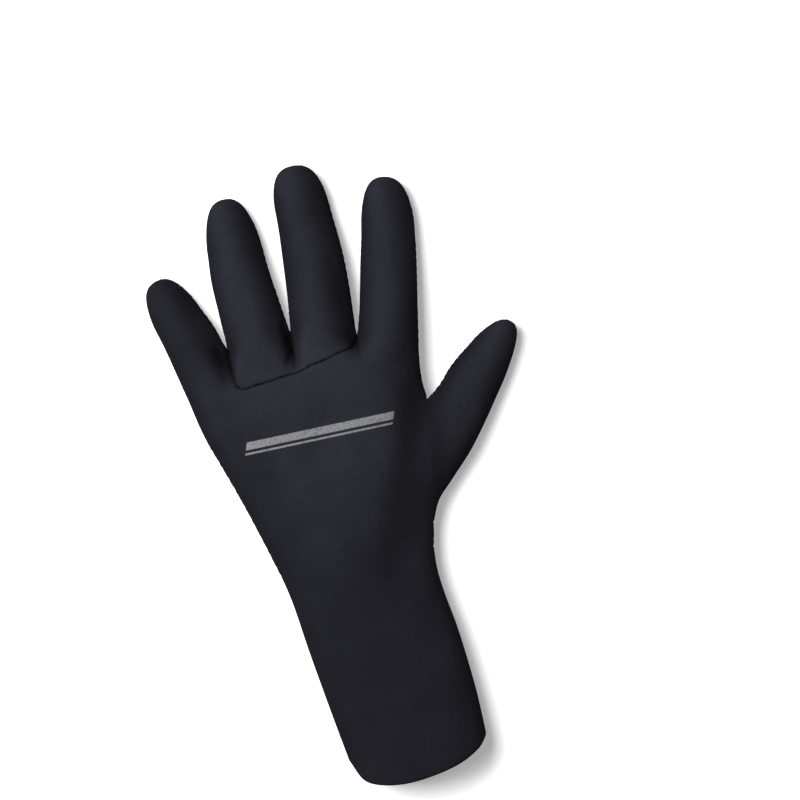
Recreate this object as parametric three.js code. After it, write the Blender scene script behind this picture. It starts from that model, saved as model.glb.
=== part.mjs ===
// A long-cuffed neoprene paddling glove for the left hand, lying palm down.
// +Y runs from the cuff to the fingertips, +X points to the thumb and +Z out of the
// back of the hand. The origin is under the middle of the glove, on the surface it lies on.
//
// The glove is one hollow skin, the outline of the hand blown up on both sides of its
// side seam, cut along its seams into five panels of foam rubber. Sizes are millimetres.
import * as THREE from "three";

const WALL = 3; // thickness of the foam rubber with its two cloth faces
const SEAM_GAP = 0.3; // between the edges of two panels

// The mesh: cells across each finger and across the thumb, of which the back panel wraps
// round the thumb's outer side, and rows along each stretch.
const CELLS_ACROSS = 8;
const THUMB_WRAP_CELLS = 3;
const ROWS = { cuff: 7, heel: 1, knuckles: 3, finger: 6, thumb: 7, tip: 4 };
const ROOT_STEPS = [0, 0.4, 0.75, 1];

// How far from the side seam the skin goes on rising or dropping.
const ROUNDING = { top: 18, bottom: 11 };

// The share of its rise that the back keeps, however deep it is pressed in.
const LEAST_RISE = 0.45;

// The corners of the outline seen from above, measured from the middle of the hem.
const HEM_LEFT = [-34, 4.5];
const HEM_RIGHT = [36, 3.5];
const WRIST_LEFT = [-48.4, 103];
const WRIST_RIGHT = [30, 101.5];
const HEEL_LEFT = [-52.1, 117];
const THUMB_ROOT = [32.4, 113];
const PALM_LEFT = [-70, 174.5];
const THUMB_CROTCH = [42.2, 174.5];
const SEAM_LEFT = [-74.7, 196];
const SEAM_RIGHT = [42.1, 192];
const LITTLE_SIDE = [-77.6, 209.5];
const LITTLE_RING_CROTCH = [-50.5, 217.9];
const RING_MIDDLE_CROTCH = [-18, 221.2];
const MIDDLE_INDEX_CROTCH = [14, 211];
const INDEX_SIDE = [43.3, 199.5];

// Points that the outline passes through between those corners.
const HEM = [HEM_LEFT, [-28.5, -5.6], [-17, -9.8], [-2, -10.4], [18, -7], [30.5, -1.7], HEM_RIGHT];
const CUFF_LEFT = [HEM_LEFT, [-37.8, 30], [-42.1, 61.2], [-45.4, 88], WRIST_LEFT];
const HAND_LEFT = [HEEL_LEFT, [-58.5, 139.5], [-64.4, 158], PALM_LEFT];
const KNUCKLE_LEFT = [PALM_LEFT, [-72.6, 185], SEAM_LEFT];
const CUFF_RIGHT = [HEM_RIGHT, [35.6, 28], [33.3, 57], [30.4, 77], [29.3, 90], WRIST_RIGHT];
const KNUCKLE_RIGHT = [THUMB_CROTCH, [41.5, 183], SEAM_RIGHT];

// Rows of points across the hand at its four finger columns. The seam of the ring and
// middle fingers' back runs along the first, from the second point to the fourth.
const SEAM_ROW = [SEAM_LEFT, [-49.6, 197.3], [-19, 200.6], [13.4, 207.6], SEAM_RIGHT];
const CROTCH_ROW = [
  LITTLE_SIDE, LITTLE_RING_CROTCH, RING_MIDDLE_CROTCH, MIDDLE_INDEX_CROTCH, INDEX_SIDE,
];

// Each limb of the glove, as sections from its root to its tip. From the section numbered
// capFrom on, the width closes as an ellipse does, so the last section is only as wide as
// the tip would be if it were cut off square. The tip sags by droop.
const LIMBS = {
  little: {
    droop: 12,
    capFrom: 2,
    sections: [
      { left: LITTLE_SIDE, right: LITTLE_RING_CROTCH },
      { left: [-80.8, 223.5], right: [-54.8, 232.2] },
      { left: [-84.5, 236.6], right: [-60.3, 244.2] },
      { left: [-90.4, 257], right: [-68.2, 264.2] },
    ],
  },
  ring: {
    droop: 10.5,
    capFrom: 3,
    sections: [
      { left: LITTLE_RING_CROTCH, right: RING_MIDDLE_CROTCH },
      { left: [-51.2, 237], right: [-20.1, 238] },
      { left: [-51.7, 254], right: [-22, 255] },
      { left: [-50.8, 268.5], right: [-23, 269.5] },
      { left: [-49.8, 293.4], right: [-24.6, 294.2] },
    ],
  },
  middle: {
    droop: 9,
    capFrom: 3.2,
    sections: [
      { left: RING_MIDDLE_CROTCH, right: MIDDLE_INDEX_CROTCH },
      { left: [-15.9, 238.5], right: [15.8, 236] },
      { left: [-14.2, 259], right: [16.1, 257.5] },
      { left: [-13.1, 277.4], right: [14.8, 277.4] },
      { left: [-13, 303], right: [13.5, 303] },
    ],
  },
  index: {
    droop: 8.5,
    capFrom: 3,
    sections: [
      { left: MIDDLE_INDEX_CROTCH, right: INDEX_SIDE },
      { left: [18.2, 225.5], right: [47.3, 220.5] },
      { left: [22.9, 245.5], right: [51.1, 240.5] },
      { left: [27.7, 266], right: [54.4, 261] },
      { left: [31.4, 290.5], right: [57.4, 285.4] },
    ],
  },
  thumb: {
    droop: 8,
    capFrom: 5,
    sections: [
      { left: THUMB_CROTCH, right: THUMB_ROOT },
      { left: [45.3, 176.4], right: [37.3, 123.3] },
      { left: [50.3, 180.5], right: [45.8, 132] },
      { left: [56.2, 187], right: [58, 144.2] },
      { left: [62.5, 192.3], right: [69.1, 158] },
      { left: [70.5, 198.2], right: [79.4, 172] },
      { left: [84.5, 209.8], right: [98.5, 197.2] },
    ],
  },
};
const FINGERS = ["little", "ring", "middle", "index"];

// Side view along the glove: the height of the side seam above the surface, and how far
// a wide stretch of skin rises above it and drops below it.
const PROFILE = [
  { y: -10, seam: 19, rise: 20.5, drop: 21.5 },
  { y: 55, seam: 18.5, rise: 19.5, drop: 21 },
  { y: 108, seam: 17.5, rise: 17.5, drop: 19.5 },
  { y: 160, seam: 18, rise: 20, drop: 19 },
  { y: 205, seam: 18, rise: 20.5, drop: 14.5 },
  { y: 290, seam: 18, rise: 20, drop: 12 },
];

// Furrows that carry on from the crotches into the back of the hand, with how far each
// reaches to its left and to its right.
const FURROWS = [
  { from: LITTLE_RING_CROTCH, to: [-50.5, 195], depth: 11, left: 5, right: 2.5 },
  { from: RING_MIDDLE_CROTCH, to: [-18.8, 197], depth: 15, left: 4.5, right: 3 },
  { from: MIDDLE_INDEX_CROTCH, to: [14, 198], depth: 6, left: 4, right: 4.5 },
  { from: THUMB_CROTCH, to: [18, 122], depth: 8, left: 8, right: 4.5 },
];

// Long soft hollows in the back: down the right side of each finger, beside the root of
// the thumb, over the heel of the hand and down its left flank.
const HOLLOWS = [
  { from: [-50, 217], to: [-68, 266], depth: 4.5, left: 8, right: 2 },
  { from: [-18, 221], to: [-24, 296], depth: 5, left: 9, right: 2 },
  { from: [15, 216], to: [13.5, 305], depth: 5, left: 9, right: 2 },
  { from: [44, 200], to: [57, 288], depth: 4, left: 9, right: 4 },
  { from: [44, 192], to: [38, 136], depth: 7, left: 15, right: 9 },
  { from: [28, 128], to: [16, 100], depth: 9, left: 13, right: 13 },
  { from: [-54, 170], to: [-40, 95], depth: 4, left: 13, right: 13 },
];

const lerp = THREE.MathUtils.lerp;
const smoothstep = (t) => THREE.MathUtils.smoothstep(t, 0, 1);
const mixed = (a, b, t) => [lerp(a[0], b[0], t), lerp(a[1], b[1], t)];
const distance = (a, b) => Math.hypot(b[0] - a[0], b[1] - a[1]);
const range = (count, make) => Array.from({ length: count }, (_, k) => make(k));

// A smooth curve through points, as a function of 0 to 1.
function curveThrough(points) {
  const curve = new THREE.SplineCurve(points.map(([x, y]) => new THREE.Vector2(x, y)));
  return (t) => curve.getPoint(Math.min(t, 1)).toArray();
}

const straightLine = (a, b) => (t) => mixed(a, b, t);

// Steps from 0 to 1 that crowd together at both ends, as the steps of a half circle do.
const halfCircleSteps = (count) => range(count + 1, (k) => (1 - Math.cos((Math.PI * k) / count)) / 2);
const evenSteps = (count) => range(count + 1, (k) => k / count);

// A limb's edges, and its points across at one row: the sections give the width, and past
// capFrom the width closes as an ellipse does.
function limbShape({ sections, capFrom }) {
  const last = sections.length - 1;
  const left = curveThrough(sections.map((section) => section.left));
  const right = curveThrough(sections.map((section) => section.right));
  return (row, across) => {
    const l = left(row / last);
    const r = right(row / last);
    const past = Math.max(0, (row - capFrom) / (last - capFrom));
    const width = Math.sqrt(Math.max(0, 1 - past * past));
    return mixed(mixed(l, r, 0.5), mixed(l, r, across), width);
  };
}

// The rows of a limb's grid: even along the straight stretch, then crowding to the tip.
function limbRows({ sections, capFrom }, straight, cap) {
  const last = sections.length - 1;
  return [
    ...range(straight + 1, (k) => (capFrom * k) / straight),
    ...range(cap, (k) => capFrom + (last - capFrom) * Math.sin((Math.PI / 2) * ((k + 1) / cap))),
  ];
}

// The whole side seam as one line, from beyond the hem up the little finger's side, round
// every limb and down to beyond the hem on the thumb's side.
function outline() {
  const steps = 12;
  const along = (points) => evenSteps(steps).map(curveThrough(points));
  const round = (limb) => {
    const shape = limbShape(limb);
    const rows = limbRows(limb, steps, steps);
    return [...rows.map((row) => shape(row, 0)), ...rows.reverse().map((row) => shape(row, 1))];
  };
  const beyondHem = ([x, y], narrowing) => [x + narrowing, y - 70];
  return [
    beyondHem(HEM_LEFT, 9),
    ...along(CUFF_LEFT), ...along(HAND_LEFT), ...along(KNUCKLE_LEFT),
    ...FINGERS.flatMap((name) => round(LIMBS[name])),
    ...along(KNUCKLE_RIGHT).reverse(),
    ...round(LIMBS.thumb),
    ...along(CUFF_RIGHT).reverse(),
    beyondHem(HEM_RIGHT, 3),
  ];
}

const SIDE_SEAM = outline();

// A smooth distance to the side seam. Each stretch of seam adds the integral of one over
// the cube of the distance to it, and a straight seam alone gives back the true distance.
function distanceToSeam([x, y]) {
  let sum = 0;
  for (let k = 1; k < SIDE_SEAM.length; k++) {
    const [ax, ay] = SIDE_SEAM[k - 1];
    const length = distance(SIDE_SEAM[k - 1], SIDE_SEAM[k]);
    if (length < 1e-6) continue;
    const ux = (SIDE_SEAM[k][0] - ax) / length;
    const uy = (SIDE_SEAM[k][1] - ay) / length;
    const start = (ax - x) * ux + (ay - y) * uy;
    const aside = (ax - x) * uy - (ay - y) * ux;
    const squared = Math.max(aside * aside, 1e-8);
    const end = start + length;
    sum += (end / Math.sqrt(end * end + squared) - start / Math.sqrt(start * start + squared)) / squared;
  }
  return Math.sqrt(2 / sum);
}

// The row of PROFILE at a place along the glove, eased between the rows of the table.
function profileAt(y) {
  const next = PROFILE.findIndex((row) => row.y > y);
  if (next === 0) return PROFILE[0];
  if (next < 0) return PROFILE[PROFILE.length - 1];
  const [a, b] = [PROFILE[next - 1], PROFILE[next]];
  const t = smoothstep((y - a.y) / (b.y - a.y));
  return { seam: lerp(a.seam, b.seam, t), rise: lerp(a.rise, b.rise, t), drop: lerp(a.drop, b.drop, t) };
}

// The share of the way along a line from its start to its end that a point lies beside,
// and what the point stands off from the line.
function beside([x, y], { from, to }) {
  const dx = to[0] - from[0];
  const dy = to[1] - from[1];
  const share = ((x - from[0]) * dx + (y - from[1]) * dy) / (dx * dx + dy * dy);
  const along = THREE.MathUtils.clamp(share, 0, 1);
  return { along, off: [x - from[0] - along * dx, y - from[1] - along * dy] };
}

// How deep a hollow is at a point: a bell across its line, whose reach goes over smoothly
// from left to right round the ends of the line.
function hollowDepth(at, hollow) {
  const { off } = beside(at, hollow);
  const far = Math.hypot(...off);
  const rightness = smoothstep((1 + off[0] / Math.max(far, 1e-9)) / 2);
  return hollow.depth * Math.exp(-((far / lerp(hollow.left, hollow.right, rightness)) ** 2));
}

// A furrow is a hollow that is deepest at its crotch and gone at its lower end.
const furrowDepth = (at, furrow) => smoothstep(1 - beside(at, furrow).along) * hollowDepth(at, furrow);

function sinkAt(at) {
  const sinks = [
    ...FURROWS.map((furrow) => furrowDepth(at, furrow)),
    ...HOLLOWS.map((hollow) => hollowDepth(at, hollow)),
  ];
  return sinks.reduce((sum, sink) => sum + sink, 0);
}

// The skin above or below a point of the outline. A vertex is { at: [x, y], droop, edge }:
// on the edge the two skins meet at the side seam.
function heights({ at, droop, edge }) {
  const { seam, rise, drop } = profileAt(at[1]);
  const level = seam - droop;
  if (edge) return { top: level, bottom: level };
  const d = distanceToSeam(at);
  const swell = (softness) => Math.sqrt(1 - Math.exp(-d / softness));
  const up = rise * swell(ROUNDING.top);
  const down = drop * swell(ROUNDING.bottom);
  return {
    top: level + up * lerp(Math.exp(-sinkAt(at) / (up * (1 - LEAST_RISE))), 1, LEAST_RISE),
    bottom: Math.max(0, level - down),
  };
}

// A grid of points filling the space between a lower row, an upper row and two side
// curves, which meet at the corners (a Coons patch).
function patch(lower, upper, leftSide, rightSide, steps, shares) {
  return steps.map((v) => {
    const [l, r] = [leftSide(v), rightSide(v)];
    const straightLeft = mixed(lower[0], upper[0], v);
    const straightRight = mixed(lower.at(-1), upper.at(-1), v);
    return lower.map((point, i) => {
      const ruled = mixed(point, upper[i], v);
      const u = shares[i];
      return [0, 1].map((k) =>
        ruled[k] + (1 - u) * (l[k] - straightLeft[k]) + u * (r[k] - straightRight[k]));
    });
  });
}

// The rows that divide the hand: half-circle spacing over the whole width at the cuff,
// and over each finger at the knuckles.
const columns = FINGERS.length * CELLS_ACROSS;
const wideShares = halfCircleSteps(columns);
const fingerSteps = halfCircleSteps(CELLS_ACROSS);
const acrossFingers = (row) => [
  ...FINGERS.flatMap((_, f) => fingerSteps.slice(0, -1).map((u) => mixed(row[f], row[f + 1], u))),
  row.at(-1),
];
const fingerShares = acrossFingers([[0, 0], [0.25, 0], [0.5, 0], [0.75, 0], [1, 0]]).map(([u]) => u);
const middleShares = wideShares.map((u, i) => (u + fingerShares[i]) / 2);
const rowAcross = (a, b, shares) => shares.map((u) => mixed(a, b, u));

// The hand, from the hem to the crotches, as one grid of points in five zones.
function handGrid() {
  const hem = wideShares.map(curveThrough(HEM));
  const wrist = rowAcross(WRIST_LEFT, WRIST_RIGHT, wideShares);
  const heel = rowAcross(HEEL_LEFT, THUMB_ROOT, wideShares);
  const palm = rowAcross(PALM_LEFT, THUMB_CROTCH, middleShares);
  const seam = acrossFingers(SEAM_ROW);
  const crotches = acrossFingers(CROTCH_ROW);
  const zones = [
    patch(hem, wrist, curveThrough(CUFF_LEFT), curveThrough(CUFF_RIGHT),
      evenSteps(ROWS.cuff), wideShares),
    patch(wrist, heel, straightLine(WRIST_LEFT, HEEL_LEFT), straightLine(WRIST_RIGHT, THUMB_ROOT),
      evenSteps(ROWS.heel), wideShares),
    patch(heel, palm, curveThrough(HAND_LEFT), straightLine(THUMB_ROOT, THUMB_CROTCH),
      halfCircleSteps(CELLS_ACROSS), wideShares),
    patch(palm, seam, curveThrough(KNUCKLE_LEFT), curveThrough(KNUCKLE_RIGHT),
      evenSteps(ROWS.knuckles), middleShares),
    patch(seam, crotches, straightLine(SEAM_LEFT, LITTLE_SIDE), straightLine(SEAM_RIGHT, INDEX_SIDE),
      ROOT_STEPS, fingerShares),
  ];
  const starts = zones.map((_, z) => zones.slice(0, z).reduce((n, zone) => n + zone.length - 1, 0));
  const rows = [...zones.flatMap((zone) => zone.slice(0, -1)), zones.at(-1).at(-1)];
  return { rows, wristRow: starts[1], heelRow: starts[2], palmRow: starts[3], seamRow: starts[4] };
}

// Vertices of the hand and of each limb, marked where they lie on the side seam.
function handVertices({ rows, heelRow, palmRow }) {
  return rows.map((row, j) =>
    row.map((at, i) => {
      const crotch = j === rows.length - 1 && i % CELLS_ACROSS === 0;
      const insideThumb = i === columns && j > heelRow && j < palmRow;
      return { at, droop: 0, edge: crotch || i === 0 || (i === columns && !insideThumb) };
    }));
}

function limbVertices(limb, straight) {
  const shape = limbShape(limb);
  const last = limb.sections.length - 1;
  return limbRows(limb, straight, ROWS.tip).map((row) =>
    fingerSteps.map((across) => ({
      at: shape(row, across),
      droop: limb.droop * smoothstep(row / last),
      edge: across === 0 || across === 1 || row === last,
    })));
}

// The skin's cells, each with its panel on the back and on the palm side. A grid's rows
// run away from the wrist and its columns to the right, so a cell faces up.
function skinCells() {
  const hand = handGrid();
  const grid = handVertices(hand);
  const cells = [];
  const addGrid = (vertices, panelOf) => {
    for (let j = 0; j + 1 < vertices.length; j++)
      for (let i = 0; i + 1 < vertices[j].length; i++)
        cells.push({
          corners: [vertices[j][i], vertices[j][i + 1], vertices[j + 1][i + 1], vertices[j + 1][i]],
          ...panelOf(i, j),
        });
  };
  addGrid(grid, (i, j) => {
    const underTwoFingers = i >= CELLS_ACROSS && i < 3 * CELLS_ACROSS && j >= hand.seamRow;
    return {
      back: underTwoFingers ? "ring_middle_back" : "back_panel",
      palm: j < hand.wristRow ? "cuff_palm" : "palm_grip",
    };
  });
  for (const name of FINGERS) {
    const back = name === "ring" || name === "middle" ? "ring_middle_back" : "back_panel";
    addGrid(limbVertices(LIMBS[name], ROWS.finger), () => ({ back, palm: "palm_grip" }));
  }
  addGrid(limbVertices(LIMBS.thumb, ROWS.thumb), (i) => ({
    back: "back_panel",
    palm: i < CELLS_ACROSS - THUMB_WRAP_CELLS ? "thumb_grip" : "back_panel",
  }));
  return cells;
}

// Every point of the skin once, with its faces and the direction that faces outwards there.
function buildSkin() {
  const points = [];
  const numbers = new Map();
  const numberOf = (x, y, z) => {
    const key = [x, y, z].map((n) => Math.round(n * 1000)).join();
    if (!numbers.has(key)) {
      numbers.set(key, points.length);
      points.push(new THREE.Vector3(x, y, z));
    }
    return numbers.get(key);
  };
  const faces = [];
  const addFace = (panel, corners) => {
    const ring = corners.filter((n, k) => n !== corners[(k + 1) % corners.length]);
    if (ring.length > 2) faces.push({ panel, ring });
  };
  for (const { corners, back, palm } of skinCells()) {
    const skins = corners.map((vertex) => ({ ...vertex, ...heights(vertex) }));
    addFace(back, skins.map(({ at, top }) => numberOf(...at, top)));
    addFace(palm, skins.map(({ at, bottom }) => numberOf(...at, bottom)).reverse());
  }
  const outward = points.map(() => new THREE.Vector3());
  for (const { ring } of faces) {
    const across = new THREE.Vector3().subVectors(points[ring[2]], points[ring[0]]);
    const other = new THREE.Vector3().subVectors(points[ring.at(-1)], points[ring[1]]);
    const normal = across.cross(other).normalize();
    ring.forEach((n) => outward[n].add(normal));
  }
  outward.forEach((direction) => direction.normalize());
  return { points, faces, outward };
}

// The edges of a panel: those that only one of its faces has, each from its start to its end.
function openEdges(rings) {
  const edges = new Map();
  for (const ring of rings)
    ring.forEach((from, k) => {
      const to = ring[(k + 1) % ring.length];
      if (!edges.delete(`${to},${from}`)) edges.set(`${from},${to}`, [from, to]);
    });
  return [...edges.values()];
}

// How far each point on a panel's edge is pulled back, so that two panels never touch.
// Where two edges meet at a corner the point moves further, so that both keep their gap.
function pullBack({ points, outward }, edges) {
  const pulls = new Map();
  for (const [from, to] of edges) {
    const along = new THREE.Vector3().subVectors(points[to], points[from]).normalize();
    for (const n of [from, to]) {
      const inwards = new THREE.Vector3().crossVectors(outward[n], along).normalize();
      pulls.set(n, (pulls.get(n) ?? new THREE.Vector3()).add(inwards));
    }
  }
  pulls.forEach((pull) => {
    const cornering = Math.max(pull.length() / 2, 0.5);
    pull.normalize().multiplyScalar(SEAM_GAP / 2 / cornering);
  });
  return pulls;
}

// One panel as a closed solid: its outer face, the same face a wall's thickness further
// in, and the cut edge between them.
function panelGeometry(skin, name) {
  const rings = skin.faces.filter((face) => face.panel === name).map((face) => face.ring);
  const edges = openEdges(rings);
  const pulls = pullBack(skin, edges);
  const corners = [];
  const place = (n, depth) => {
    const point = skin.points[n].clone().addScaledVector(skin.outward[n], -depth);
    if (pulls.has(n)) point.add(pulls.get(n));
    corners.push(point.x, point.y, Math.max(point.z, 0));
  };
  const addTriangle = (...pairs) => pairs.forEach(([n, depth]) => place(n, depth));
  for (const ring of rings)
    for (let k = 1; k + 1 < ring.length; k++) {
      addTriangle([ring[0], 0], [ring[k], 0], [ring[k + 1], 0]);
      addTriangle([ring[0], WALL], [ring[k + 1], WALL], [ring[k], WALL]);
    }
  // Both panels of a seam split its cut edges along the same diagonal.
  for (const [from, to] of edges) {
    if (from < to) {
      addTriangle([from, 0], [from, WALL], [to, WALL]);
      addTriangle([from, 0], [to, WALL], [to, 0]);
    } else {
      addTriangle([from, 0], [from, WALL], [to, 0]);
      addTriangle([from, WALL], [to, WALL], [to, 0]);
    }
  }
  const geometry = new THREE.BufferGeometry();
  geometry.setAttribute("position", new THREE.Float32BufferAttribute(corners, 3));
  geometry.computeVertexNormals();
  return geometry;
}

// The finishes: matt jersey over the back and the cuff, studded rubber on the grip.
const jersey = new THREE.MeshStandardMaterial({ color: 0x2b2b33, roughness: 0.92, metalness: 0 });
const gripRubber = new THREE.MeshStandardMaterial({ color: 0x151517, roughness: 0.6, metalness: 0 });
const PANELS = {
  back_panel: jersey,
  ring_middle_back: jersey,
  palm_grip: gripRubber,
  thumb_grip: gripRubber,
  cuff_palm: jersey,
};

const skin = buildSkin();
const glove = new THREE.Group();
for (const [name, material] of Object.entries(PANELS)) {
  const panel = new THREE.Mesh(panelGeometry(skin, name), material);
  panel.name = name;
  glove.add(panel);
}

// The tables measure from the hem, so the glove is moved to lie over its own middle.
const middle = new THREE.Box3().setFromObject(glove).getCenter(new THREE.Vector3());
glove.position.set(-middle.x, -middle.y, 0);

export default glove;
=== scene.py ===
# %% [markdown]
# # A neoprene paddling glove, laid palm down
#
# The glove is sewn from five panels of foam rubber, 3 mm thick. Foam rubber bends in wide
# curves, and folds only in the valleys between the fingers. So each panel is one smooth
# surface, with tables for its furrows and folds, and then gets its thickness. A cloth
# simulation would only blur these few shapes.
#
# Everything is in millimetres on the glove's own pattern, with Y running from the cuff to
# the fingertips and the origin at the middle of the hem. One step at the end turns that
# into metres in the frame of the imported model.

import bpy
import numpy as np
from mathutils import Matrix, Vector


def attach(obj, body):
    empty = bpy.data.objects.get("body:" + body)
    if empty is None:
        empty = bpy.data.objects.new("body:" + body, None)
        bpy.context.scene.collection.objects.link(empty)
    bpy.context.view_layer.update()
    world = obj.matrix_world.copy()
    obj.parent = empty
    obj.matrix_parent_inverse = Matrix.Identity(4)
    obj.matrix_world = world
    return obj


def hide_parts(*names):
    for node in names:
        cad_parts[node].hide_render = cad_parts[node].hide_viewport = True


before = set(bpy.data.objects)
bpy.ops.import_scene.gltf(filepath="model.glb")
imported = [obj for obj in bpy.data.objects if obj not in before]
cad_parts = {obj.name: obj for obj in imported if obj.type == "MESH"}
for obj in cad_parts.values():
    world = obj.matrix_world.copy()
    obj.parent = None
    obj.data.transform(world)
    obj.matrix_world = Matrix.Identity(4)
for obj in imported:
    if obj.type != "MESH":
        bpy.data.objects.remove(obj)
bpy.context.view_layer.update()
MM = 0.001
print("nodes:", ", ".join(sorted(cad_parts)))

# %% [markdown]
# ## The pattern
#
# The tables below are the pattern: corners of the outline, points that it runs through
# between them, and for each finger and the thumb a few sections from root to tip. The
# solid parts were made from the same tables, so each surface lands where its solid is.

# %% Sizes of the foam rubber and its seams
WALL = 3.0  # thickness of the foam rubber
SEAM_GAP = 0.06  # between the edges of two panels
SEAM_SINK = 0.55  # how deep the surface dips into a glued seam
SEAM_REACH = 0.75  # how far from the seam that dip reaches
ROUNDING_TOP, ROUNDING_BOTTOM = 18.0, 11.0  # how far from the side seam the skin still curves
LEAST_RISE = 0.45  # share of its rise that the back keeps, however deep it is pressed in
print("wall:", WALL, "mm, seams:", SEAM_SINK, "mm deep")

# %% Corners of the outline
HEM_LEFT, HEM_RIGHT = (-34, 4.5), (36, 3.5)
WRIST_LEFT, WRIST_RIGHT = (-48.4, 103), (30, 101.5)
HEEL_LEFT, THUMB_ROOT = (-52.1, 117), (32.4, 113)
PALM_LEFT, THUMB_CROTCH = (-70, 174.5), (42.2, 174.5)
SEAM_LEFT, SEAM_RIGHT = (-74.7, 196), (42.1, 192)
LITTLE_SIDE, INDEX_SIDE = (-77.6, 209.5), (43.3, 199.5)
LITTLE_RING, RING_MIDDLE, MIDDLE_INDEX = (-50.5, 217.9), (-18, 221.2), (14, 211)
print("hem:", HEM_RIGHT[0] - HEM_LEFT[0], "mm, wrist:", round(WRIST_RIGHT[0] - WRIST_LEFT[0], 1), "mm")

# %% Points that the outline passes through
HEM = [HEM_LEFT, (-28.5, -5.6), (-17, -9.8), (-2, -10.4), (18, -7), (30.5, -1.7), HEM_RIGHT]
CUFF_LEFT = [HEM_LEFT, (-37.8, 30), (-42.1, 61.2), (-45.4, 88), WRIST_LEFT]
HAND_LEFT = [HEEL_LEFT, (-58.5, 139.5), (-64.4, 158), PALM_LEFT]
KNUCKLE_LEFT = [PALM_LEFT, (-72.6, 185), SEAM_LEFT]
CUFF_RIGHT = [HEM_RIGHT, (35.6, 28), (33.3, 57), (30.4, 77), (29.3, 90), WRIST_RIGHT]
KNUCKLE_RIGHT = [THUMB_CROTCH, (41.5, 183), SEAM_RIGHT]
SEAM_ROW = [SEAM_LEFT, (-49.6, 197.3), (-19, 200.6), (13.4, 207.6), SEAM_RIGHT]
CROTCH_ROW = [LITTLE_SIDE, LITTLE_RING, RING_MIDDLE, MIDDLE_INDEX, INDEX_SIDE]
print("the hem bows down to y =", min(y for _, y in HEM), "mm")

# %% Sections of the fingers and the thumb, from root to tip
# From section number cap_from on, the width closes as an ellipse does. The tip sags by droop.
def table(columns, *rows):
    """A list with a dictionary for each row, by the names of the columns."""
    return [dict(zip(columns.split(), row)) for row in rows]


LIMBS = table(
    "name droop cap_from left right",
    ("little", 12, 2,
     [LITTLE_SIDE, (-80.8, 223.5), (-84.5, 236.6), (-90.4, 257)],
     [LITTLE_RING, (-54.8, 232.2), (-60.3, 244.2), (-68.2, 264.2)]),
    ("ring", 10.5, 3,
     [LITTLE_RING, (-51.2, 237), (-51.7, 254), (-50.8, 268.5), (-49.8, 293.4)],
     [RING_MIDDLE, (-20.1, 238), (-22, 255), (-23, 269.5), (-24.6, 294.2)]),
    ("middle", 9.0, 3.2,
     [RING_MIDDLE, (-15.9, 238.5), (-14.2, 259), (-13.1, 277.4), (-13, 303)],
     [MIDDLE_INDEX, (15.8, 236), (16.1, 257.5), (14.8, 277.4), (13.5, 303)]),
    ("index", 8.5, 3,
     [MIDDLE_INDEX, (18.2, 225.5), (22.9, 245.5), (27.7, 266), (31.4, 290.5)],
     [INDEX_SIDE, (47.3, 220.5), (51.1, 240.5), (54.4, 261), (57.4, 285.4)]),
    ("thumb", 8.0, 5,
     [THUMB_CROTCH, (45.3, 176.4), (50.3, 180.5), (56.2, 187), (62.5, 192.3), (70.5, 198.2), (84.5, 209.8)],
     [THUMB_ROOT, (37.3, 123.3), (45.8, 132), (58, 144.2), (69.1, 158), (79.4, 172), (98.5, 197.2)]),
)
print(len(LIMBS), "limbs,", sum(len(limb["left"]) for limb in LIMBS), "sections")

# %% Side view: height of the side seam, rise of the back above it, drop of the palm below it
PROFILE = np.array([
    # y, seam, rise, drop
    (-10, 19, 20.5, 21.5),
    (55, 18.5, 19.5, 21),
    (108, 17.5, 17.5, 19.5),
    (160, 18, 20, 19),
    (205, 18, 20.5, 14.5),
    (290, 18, 20, 12),
], float)
print("the side seam lies", PROFILE[:, 1].min(), "to", PROFILE[:, 1].max(), "mm high")

# %% Furrows that run on from the crotches, and long soft hollows in the back
FURROWS = table(
    "from to depth left right",
    (LITTLE_RING, (-50.5, 195), 11, 5, 2.5),
    (RING_MIDDLE, (-18.8, 197), 15, 4.5, 3),
    (MIDDLE_INDEX, (14, 198), 6, 4, 4.5),
    (THUMB_CROTCH, (18, 122), 8, 8, 4.5),
)
HOLLOWS = table(
    "from to depth left right",
    ((-50, 217), (-68, 266), 4.5, 8, 2),
    ((-18, 221), (-24, 296), 5, 9, 2),
    ((15, 216), (13.5, 305), 5, 9, 2),
    ((44, 200), (57, 288), 4, 9, 4),
    ((44, 192), (38, 136), 7, 15, 9),
    ((28, 128), (16, 100), 9, 13, 13),
    ((-54, 170), (-40, 95), 4, 13, 13),
)
print(len(FURROWS), "furrows and", len(HOLLOWS), "hollows")

# %% [markdown]
# ## Curves and spacing
#
# Two helpers do most of the work. One draws a smooth curve through points. The other spaces
# the grid lines: wide over plain foam rubber, and fine next to a seam, where the surface
# dips within a millimetre.

# %% Curves through points
def smoothstep(t):
    """3t^2 - 2t^3 between 0 and 1: an S-shaped step with level ends."""
    t = np.clip(t, 0, 1)
    return t * t * (3 - 2 * t)


def unit(vectors):
    """Vectors of length one."""
    return vectors / np.maximum(np.linalg.norm(vectors, axis=-1, keepdims=True), 1e-12)


def mix(a, b, t):
    """The value that lies the share t of the way from a to b."""
    return np.asarray(a, float) * (1 - t) + np.asarray(b, float) * t


def curve(points, t):
    """A Catmull-Rom curve: the slope at a point is half the step from the point before to the
    point after, and cubics join the points. t from 0 to 1 is spread evenly over them."""
    t = np.clip(t, 0, 1) * (len(points) - 1)
    k = np.minimum(t.astype(int), len(points) - 2)
    w = (t - k)[:, None]
    padded = np.pad(np.array(points, float), ((1, 1), (0, 0)), "edge")
    before, start, end, after = (padded[k + step] for step in range(4))
    slope_in, slope_out = (end - before) / 2, (after - start) / 2
    cubic = 2 * start - 2 * end + slope_in + slope_out
    square = -3 * start + 3 * end - 2 * slope_in - slope_out
    return ((cubic * w + square) * w + slope_in) * w + start


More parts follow.
